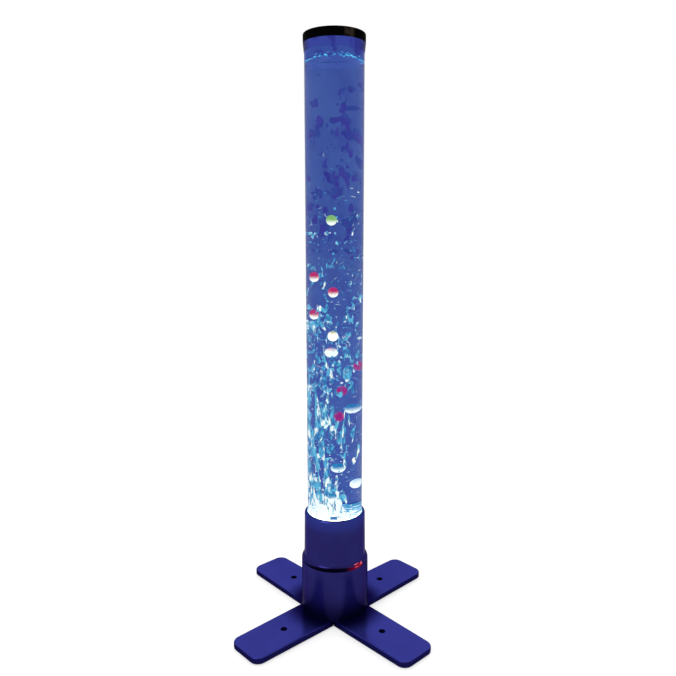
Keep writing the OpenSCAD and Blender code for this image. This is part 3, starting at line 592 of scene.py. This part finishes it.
# The water's surface waves about a height a little under the flat top of its solid
SURFACE_DROP = 2 * MM
SURFACE = WATER_TOP - SURFACE_DROP


def add_piece(name, verts, faces, material):
    """A smooth mesh piece, sharp at its rims, that rides on the stand."""
    mesh = bpy.data.meshes.new(name)
    mesh.from_pydata([tuple(v) for v in verts], [], [tuple(f) for f in faces])
    mesh.materials.append(material)
    mesh.shade_smooth()
    mesh.set_sharp_from_angle(angle=math.radians(50))
    piece = bpy.data.objects.new(name, mesh)
    bpy.context.scene.collection.objects.link(piece)
    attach(piece, STAND)
    return piece


def wave(angle, radius):
    """Height of the disturbed water surface."""
    swell = -2.4 * math.sin(angle) + 0.7 * math.sin(3 * angle - 1.1)
    chop = 0.5 * math.sin(9 * angle + 40 * radius) + 0.4 * math.sin(14 * angle - 70 * radius)
    return (swell * radius / BORE_R + chop * 0.6) * MM


def lathed(rings, segments=96):
    """Verts and faces of a closed form made of rings (radius, height function), capped at both ends."""
    verts = []
    for radius, height in rings:
        for i in range(segments):
            angle = 2 * math.pi * i / segments
            verts.append((radius * math.cos(angle), radius * math.sin(angle), height(angle, radius)))
    faces = []
    for ring in range(len(rings) - 1):
        for i in range(segments):
            a = ring * segments + i
            b = ring * segments + (i + 1) % segments
            faces.append((a, b, b + segments, a + segments))
    faces.append(tuple(reversed(range(segments))))
    faces.append(tuple(range((len(rings) - 1) * segments, len(rings) * segments)))
    return verts, faces


def add_water(material):
    """The water with its disturbed surface, a hair into the acrylic so that no air gap shows."""
    steps = 12
    overlap = 0.05 * MM
    radius = BORE_R + overlap
    foot = FLOOR_TOP - overlap
    rise = SURFACE - foot
    rings = [(radius, lambda a, r: foot)]
    for k in range(1, steps + 1):
        rings.append((radius, lambda a, r, k=k: foot + (rise + wave(a, r)) * k / steps))
    for k in range(steps - 1, 0, -1):
        rings.append((radius * k / steps, lambda a, r: foot + rise + wave(a, r)))
    verts, faces = lathed(rings)
    piece = add_piece("water", verts, faces, material)
    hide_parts("water_column")


def add_lit_film(material):
    """The wet inside of the tube between the water and the cap, a little into the acrylic, as a sheet for
    its painted glow.
    """
    steps = 6
    radius = BORE_R + 0.3 * MM
    low = SURFACE + 0.2 * MM
    rise = CAP_UNDER - low - 4 * MM
    rings = [
        (radius, lambda a, r, k=k: low + (1 - k / steps) * wave(a, r) + rise * k / steps)
        for k in range(steps + 1)
    ]
    verts, faces = lathed(rings)
    wall = faces[:-2]
    add_piece("lit_film", verts, wall, material)


# Rows of bright line where water meets tube: rise in millimetres, how unbroken, how thick
WATERLINES = ((0.0, 1.5, 1.0), (4.0, -0.3, 0.5), (-4.0, -0.8, 0.6))


def ragged(rng, count, blur):
    """Random values round a closed line, smoothed over a few neighbours."""
    values = rng.normal(size=count)
    return sum(np.roll(values, k) for k in range(blur)) / math.sqrt(blur)


def add_waterline(material):
    """Broken lines of painted light where the water meets the tube: a main one and two in short pieces."""
    rng = np.random.default_rng(5)
    verts, faces = [], []
    segments, sides = 480, 6
    radius = BORE_R + 0.5 * MM
    fewer_behind = np.where(np.arange(segments) < segments / 2, 1.8, 0)
    for rise, fill, weight in WATERLINES:
        thick = np.clip(0.6 * (ragged(rng, segments, 7) + fill - fewer_behind), 0, 1.6) * weight
        wobble = 0.7 * ragged(rng, segments, 5) + 0.7 * ragged(rng, segments, 12)
        first = len(verts)
        for i in range(segments):
            angle = 2 * math.pi * i / segments
            z = SURFACE + wave(angle, BORE_R) + (rise - 0.2 + 0.8 * wobble[i]) * MM
            for j in range(sides):
                turn = 2 * math.pi * j / sides
                r = radius + 0.2 * MM * math.cos(turn)
                up = z + thick[i] * MM * math.sin(turn)
                verts.append((r * math.cos(angle), r * math.sin(angle), up))
        for i in range(segments):
            after = (i + 1) % segments
            if max(thick[i], thick[after]) == 0:
                continue
            a, b = first + i * sides, first + after * sides
            for j in range(sides):
                k = (j + 1) % sides
                faces.append((a + j, b + j, b + k, a + k))
    add_piece("waterline", verts, faces, material)


# ---------------------------------------------------------------- surfaces of random fields


class Lattice:
    """Smooth random values in space, the same on every run."""

    def __init__(self, seed, size=24):
        self.size = size
        self.values = np.random.default_rng(seed).uniform(-1, 1, (size, size, size)).astype(np.float32)

    def __call__(self, x, y, z):
        cells, parts = [], []
        for p in (x, y, z):
            low = np.floor(p)
            t = p - low
            parts.append(t * t * (3 - 2 * t))
            cells.append(low.astype(int) % self.size)
        total = 0
        for corner in range(8):
            bits = [(corner >> axis) & 1 for axis in range(3)]
            weight = 1
            for part, bit in zip(parts, bits):
                weight = weight * (part if bit else 1 - part)
            index = tuple((cell + bit) % self.size for cell, bit in zip(cells, bits))
            total = total + weight * self.values[index]
        return total


# Corners of one cell of a grid, and its twelve edges from the lower to the higher end
CELL_CORNERS = [(i, j, k) for i in (0, 1) for j in (0, 1) for k in (0, 1)]
CELL_EDGES = [
    (a, b) for a in CELL_CORNERS for b in CELL_CORNERS
    if sum(q - p for p, q in zip(a, b)) == 1 and all(q >= p for p, q in zip(a, b))
]


def surface_points(field):
    """One point in each cell that the surface crosses, in cells, and the number of each such cell."""
    inside = field > 0
    shape = tuple(n - 1 for n in field.shape)

    def at(array, corner):
        return array[tuple(slice(c, c + n) for c, n in zip(corner, shape))]

    total = np.zeros((*shape, 3))
    count = np.zeros(shape)
    for a, b in CELL_EDGES:
        va, vb = at(field, a), at(field, b)
        crossing = at(inside, a) != at(inside, b)
        t = np.where(crossing, va / np.where(va == vb, 1, va - vb), 0)
        for axis in range(3):
            total[..., axis] += np.where(crossing, a[axis] + t * (b[axis] - a[axis]), 0)
        count += crossing
    used = count > 0
    numbers = np.full(shape, -1)
    numbers[used] = np.arange(used.sum())
    return np.argwhere(used) + total[used] / count[used][:, None], numbers


def surface_quads(field, numbers):
    """Quads between the four cells round each grid edge on which the field changes sign."""
    inside = field > 0
    faces = []
    for axis in range(3):
        u, v = [(1, 2), (2, 0), (0, 1)][axis]
        across = np.array([0 if a == axis else 1 for a in range(3)])
        low = tuple(slice(0, n - 1) if a == axis else slice(1, n - 1) for a, n in enumerate(field.shape))
        high = tuple(slice(1, n) if a == axis else slice(1, n - 1) for a, n in enumerate(field.shape))
        first, second = inside[low], inside[high]
        crossings = np.argwhere(first != second)
        flip = second[tuple(crossings.T)]
        cells = crossings + across
        du, dv = np.eye(3, dtype=int)[u], np.eye(3, dtype=int)[v]
        quads = np.stack([numbers[tuple((cells - s).T)] for s in (du + dv, dv, 0 * du, du)], axis=1)
        quads[flip] = quads[flip][:, ::-1]
        faces.append(quads)
    return np.concatenate(faces)


def add_field(name, field, origin, step, material):
    """The surface on which a field changes sign, as a piece, by naive surface nets."""
    points, numbers = surface_points(field)
    return add_piece(name, points * step + origin, surface_quads(field, numbers), material)


# ---------------------------------------------------------------- currents and folds of the water

# The place in the random fields at which the tube's floor lies
FIELD_START = 0.197

# How far the fields stay off the tube's wall
WALL_GAP = 1.5 * MM

# Heights over the tube's floor, and how full of currents the water is there at left, middle and right
CURRENT_HEIGHTS = [0.00, 0.03, 0.08, 0.12, 0.17, 0.22, 0.28, 0.35, 0.42, 0.50, 0.58]
LEFT_SHARES = [2.10, 1.50, 1.35, 1.35, 1.10, 0.95, 0.85, 0.95, 0.50, 0.35, 0.10]
MIDDLE_SHARES = [2.50, 1.60, 0.70, 1.10, 0.95, 0.45, 0.70, 0.40, 0.30, 0.30, 0.00]
RIGHT_SHARES = [0.50, 0.00, 0.00, 0.50, 0.80, 0.30, 0.65, 0.65, 0.50, 0.35, 0.20]


def field_grid(low, high, pitch, rise):
    """Points of the water between two heights over the tube's floor."""
    reach = BORE_R - WALL_GAP
    x = np.arange(-reach, reach + pitch, pitch)
    up = np.arange(low, high, rise)
    origin = np.array([x[0], x[0], FLOOR_TOP + up[0]])
    return np.meshgrid(x, x, up, indexing="ij"), origin, np.array([pitch, pitch, rise])


def within_tube(field, x, y):
    return np.minimum(field, (BORE_R - WALL_GAP - np.hypot(x, y)) / 0.02)


def current_share(x, up):
    """How much of the water the currents fill: most at the foot's left and middle, least at its right."""
    left, middle, right = (
        np.interp(up, CURRENT_HEIGHTS, shares)
        for shares in (LEFT_SHARES, MIDDLE_SHARES, RIGHT_SHARES)
    )
    side = np.clip(x / (0.5 * BORE_R), -1, 1)
    return middle + np.abs(side) * (np.where(side < 0, left, right) - middle)


def add_currents(name, material, low, high, seed, width, height, thin, level):
    """Curling ribbons of light: folds of one field, cut to strips by another and torn by a third."""
    (x, y, up), origin, step = field_grid(low, high, 1.25 * MM, 1.8 * MM)
    z = up + FIELD_START
    bend = Lattice(seed)
    wx = x + 0.8 * width * bend(x / (2 * width), y / (2 * width), z / height)
    wy = y + 0.8 * width * bend(x / (2 * width) + 9, y / (2 * width), z / height)
    fold = Lattice(seed + 1)(wx / width, wy / width, z / height)
    strip = Lattice(seed + 2)(wx / (0.8 * width), wy / (0.8 * width), z / (0.7 * height))
    tear = Lattice(seed + 3)(x / (0.4 * width), y / (0.4 * width), z / (0.3 * height))
    filled = strip + 0.30 * tear + 0.65 * current_share(x, up) - level
    ribbons = np.minimum(thin - np.abs(fold), 0.5 * filled)
    add_field(name, within_tube(ribbons, x, y), origin, step, material)


def add_shade(material):
    """Darker folds of water in the upper part of the tube, as sheets of painted shade."""
    (x, y, up), origin, step = field_grid(0.46, WATER_H - 18 * MM, 1.6 * MM, 2.0 * MM)
    z = up + FIELD_START
    bend = Lattice(20)
    wx = x + 7 * MM * bend(x / 0.016, y / 0.016, z / 0.022)
    wy = y + 7 * MM * bend(x / 0.016 + 7, y / 0.016, z / 0.022)
    coarse = Lattice(21)(wx / 0.010, wy / 0.010, z / 0.024)
    fine = Lattice(22)(wx / 0.005, wy / 0.005, z / 0.010)
    level = np.interp(up / WATER_H, [0.58, 0.70, 0.85, 0.95], [1.0, 0.80, 0.76, 1.0])
    folds = coarse + 0.5 * fine - level
    add_field("water_shade", within_tube(folds, x, y), origin, step, material)


# ---------------------------------------------------------------- strokes and bubbles

STROKES = 190
BUBBLES = 420


def stroke_axes(rng):
    """Three directions at right angles: along a stroke, and two across it."""
    ahead = rng.normal(size=3) * [1, 1, 1.3]
    ahead /= np.linalg.norm(ahead)
    aside = np.cross(ahead, rng.normal(size=3))
    aside /= np.linalg.norm(aside)
    return ahead, aside, np.cross(ahead, aside)


def add_strokes(material):
    """Thin curved strokes of light, as bubbles leave on a long exposure."""
    rng = np.random.default_rng(19)
    sides, length = 4, 9
    verts, faces = [], []
    for _ in range(STROKES):
        share = rng.beta(1.3, 1.4)
        radius = rng.uniform(0.45, 0.96) * (BORE_R - 2 * MM)
        azimuth = rng.uniform(0, 2 * math.pi)
        height = FLOOR_TOP + 0.02 + 0.62 * share
        centre = np.array([radius * math.cos(azimuth), radius * math.sin(azimuth), height])
        ahead, aside, across = stroke_axes(rng)
        reach = rng.uniform(2, 7) * MM
        curl = rng.uniform(-0.6, 0.6) * reach
        thick = rng.uniform(0.25, 0.55) * MM
        stroke = []
        for t in np.linspace(-1, 1, length):
            point = centre + ahead * reach * t + aside * curl * t * t
            taper = thick * math.sqrt(max(0.02, 1 - t * t))
            for j in range(sides):
                turn = 2 * math.pi * j / sides
                stroke.append(point + taper * (math.cos(turn) * aside + math.sin(turn) * across))
        if max(math.hypot(v[0], v[1]) for v in stroke) > BORE_R - 0.5 * MM:
            continue
        for i in range(length - 1):
            ring = len(verts) + i * sides
            for j in range(sides):
                k = (j + 1) % sides
                faces.append((ring + j, ring + k, ring + k + sides, ring + j + sides))
        verts += stroke
    add_piece("strokes", verts, faces, material)


def unit_ball():
    """Verts and faces of a small round ball of radius 1."""
    seed = bmesh.new()
    bmesh.ops.create_icosphere(seed, subdivisions=1, radius=1.0)
    verts = np.array([v.co[:] for v in seed.verts])
    faces = np.array([[v.index for v in f.verts] for f in seed.faces])
    seed.free()
    return verts, faces


def add_bubbles(material):
    """Small flattened bubbles, most of them above the nozzle."""
    rng = np.random.default_rng(7)
    ball_verts, ball_faces = unit_ball()
    verts, faces = [], []
    for _ in range(BUBBLES):
        share = rng.beta(1.1, 2.4)
        spread = 0.010 + 0.035 * share
        px, py = rng.normal(-0.006 * (1 - share), spread), rng.normal(0, spread)
        if math.hypot(px, py) > BORE_R - 4 * MM:
            continue
        size = rng.uniform(0.5, 1.3) * MM * (1.2 - 0.5 * share)
        form = ball_verts * [size * rng.uniform(1.0, 1.7), size, size * rng.uniform(0.5, 0.8)]
        turn = rng.uniform(0, math.pi)
        cos, sin = math.cos(turn), math.sin(turn)
        spin = np.array([[cos, sin, 0], [-sin, cos, 0], [0, 0, 1]])
        centre = [px, py, FLOOR_TOP + 0.015 + share * (WATER_H - 0.05)]
        faces.append(ball_faces + len(ball_verts) * len(verts))
        verts.append(form @ spin + centre)
    piece = add_piece("bubbles", np.concatenate(verts), np.concatenate(faces), material)
    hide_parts("air_bubbles")


# ---------------------------------------------------------------- studio

# How bright the room is to the eye, as light on the lamp, and in reflections
ROOM_SEEN = 1.0
ROOM_LIGHT = 0.80
ROOM_GLOSS = 0.55

# Light that the floor adds to its own where it is seen
FLOOR_LIFT = 0.55

# Half the floor's width, and how far it lies under the feet
FLOOR_HALF = 6.0
FLOOR_DROP = 0.2 * MM


def ray_share(tree, kinds):
    """1 for rays of the given kinds, 0 for all others."""
    path = tree.nodes.new("ShaderNodeLightPath")
    total = path.outputs[kinds[0]]
    for kind in kinds[1:]:
        either = tree.nodes.new("ShaderNodeMath")
        either.operation = "MAXIMUM"
        tree.links.new(total, either.inputs[0])
        tree.links.new(path.outputs[kind], either.inputs[1])
        total = either.outputs[0]
    return total


def mixed(tree, factor, first, second):
    mix = tree.nodes.new("ShaderNodeMixShader")
    for source, socket in zip((factor, first, second), mix.inputs):
        tree.links.new(source, socket)
    return mix.outputs[0]


def light_node(tree, kind, strength):
    node = tree.nodes.new(kind)
    node.inputs["Color"].default_value = (1, 1, 1, 1)
    node.inputs["Strength"].default_value = strength
    return node.outputs[0]


def add_world():
    """A room that looks white, lights a little less and is reflected dimmer still."""
    world = bpy.data.worlds.new("studio")
    bpy.context.scene.world = world
    world.use_nodes = True
    tree = world.node_tree
    tree.nodes.clear()
    seen, light, gloss = (
        light_node(tree, "ShaderNodeBackground", strength)
        for strength in (ROOM_SEEN, ROOM_LIGHT, ROOM_GLOSS)
    )
    room = mixed(tree, ray_share(tree, ["Is Glossy Ray"]), light, gloss)
    room = mixed(tree, ray_share(tree, ["Is Camera Ray", "Is Transmission Ray"]), room, seen)
    output = tree.nodes.new("ShaderNodeOutputWorld")
    tree.links.new(room, output.inputs["Surface"])


def floor_finish():
    """Pale and matt, lifted to white where it is seen, with the lamp's shadow kept."""
    material = bpy.data.materials.new("floor")
    material.use_nodes = True
    tree = material.node_tree
    tree.nodes.clear()
    matt = tree.nodes.new("ShaderNodeBsdfDiffuse")
    matt.inputs["Color"].default_value = (0.62, 0.62, 0.62, 1)
    lifted = tree.nodes.new("ShaderNodeAddShader")
    tree.links.new(matt.outputs[0], lifted.inputs[0])
    tree.links.new(light_node(tree, "ShaderNodeEmission", FLOOR_LIFT), lifted.inputs[1])
    seen = ray_share(tree, ["Is Camera Ray", "Is Transmission Ray"])
    surface = mixed(tree, seen, matt.outputs[0], lifted.outputs[0])
    output = tree.nodes.new("ShaderNodeOutputMaterial")
    tree.links.new(surface, output.inputs["Surface"])
    return material


def add_floor():
    mesh = bpy.data.meshes.new("floor")
    corners = [(-1, -1), (1, -1), (1, 1), (-1, 1)]
    verts = [(x * FLOOR_HALF, y * FLOOR_HALF, -FLOOR_DROP) for x, y in corners]
    mesh.from_pydata(verts, [], [(0, 1, 2, 3)])
    mesh.materials.append(floor_finish())
    floor = bpy.data.objects.new("floor", mesh)
    bpy.context.scene.collection.objects.link(floor)


def add_lamp(name, place, aim, size, power, mirrored=True):
    """A soft square lamp, left out of reflections where it isn't mirrored."""
    data = bpy.data.lights.new(name, "AREA")
    data.shape = "RECTANGLE"
    data.size, data.size_y = size
    data.energy = power
    lamp = bpy.data.objects.new(name, data)
    bpy.context.scene.collection.objects.link(lamp)
    lamp.visible_glossy = mirrored
    lamp.location = place
    away = [a - b for a, b in zip(place, aim)]
    flat = math.hypot(away[0], away[1])
    lamp.rotation_euler = (math.atan2(flat, away[2]), 0, math.atan2(away[0], -away[1]))


def add_lights():
    add_lamp("key", (-1.8, -1.9, 3.0), aim=(0, 0, 0.3), size=(1.8, 1.8), power=26)
    add_lamp("back", (0.8, 2.4, 2.8), aim=(0, 0, 0.4), size=(1.8, 1.4), power=14, mirrored=False)


# ---------------------------------------------------------------- the scene

view = bpy.context.scene.view_settings
view.view_transform = "Standard"

add_camera()
looks = slot_finishes()
dress_nodes(looks)
add_water(looks["water_blue"])
# The film, currents, strokes, bubbles and waterline below glow with painted light; the folds of water carry
# painted shade
add_lit_film(lit_film())
add_currents(
    "flames", current_finish("flames", share=-0.01, glare=0.16),
    low=0.002, high=0.27, seed=31, width=0.011, height=0.055, thin=0.13, level=1.04,
)
add_currents(
    "sparks", current_finish("sparks"),
    low=0.22, high=0.58, seed=51, width=0.0085, height=0.020, thin=0.12, level=1.03,
)
add_strokes(current_finish("strokes", strength=3.0, share=0.02))
add_bubbles(looks["air_white"])
add_waterline(waterline_lit())
add_shade(shade_finish())
add_world()
add_floor()
add_lights()
